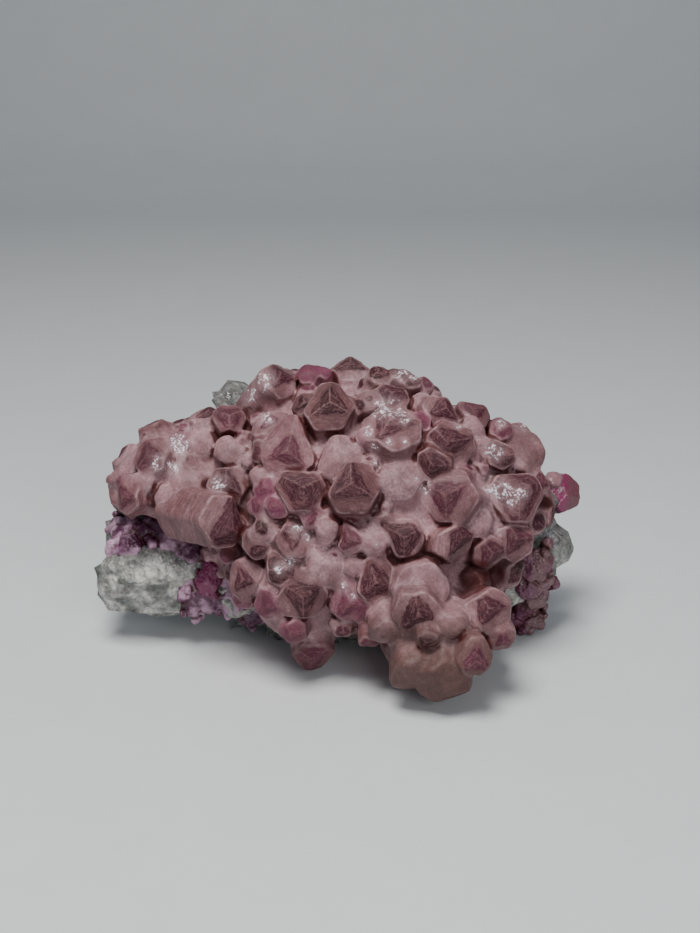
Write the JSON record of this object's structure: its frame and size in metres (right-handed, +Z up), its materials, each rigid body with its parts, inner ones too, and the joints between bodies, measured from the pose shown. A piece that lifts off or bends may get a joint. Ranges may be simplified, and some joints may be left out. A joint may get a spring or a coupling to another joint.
{
  "type": "cobaltoan calcite specimen",
  "caption": "Mineral specimen: blunt three-faced pink calcite crystals in a crust on pale matrix rock, with purple druse, standing on a flat.",
  "frame": {"origin": "on the flat under the rock that the specimen stands on, at the mount base", "axes": "+X along the specimen's length, towards the magenta crystal; +Z up; -Y is the display side"},
  "size_m": [0.0927, 0.0607, 0.054],
  "materials": {
    "matrix": "rough, broken, sugary",
    "pink_calcite": "satin faces with glossy patches",
    "purple_druse": "glossy small crystals",
    "magenta_calcite": "glossy"
  },
  "bodies": {
    "root": {"matrix_rock": "matrix", "crystal_cluster": "pink_calcite", "magenta_druse_left": "purple_druse", "magenta_druse_right": "purple_druse", "magenta_crystal": "magenta_calcite"}
  },
  "joints": []
}
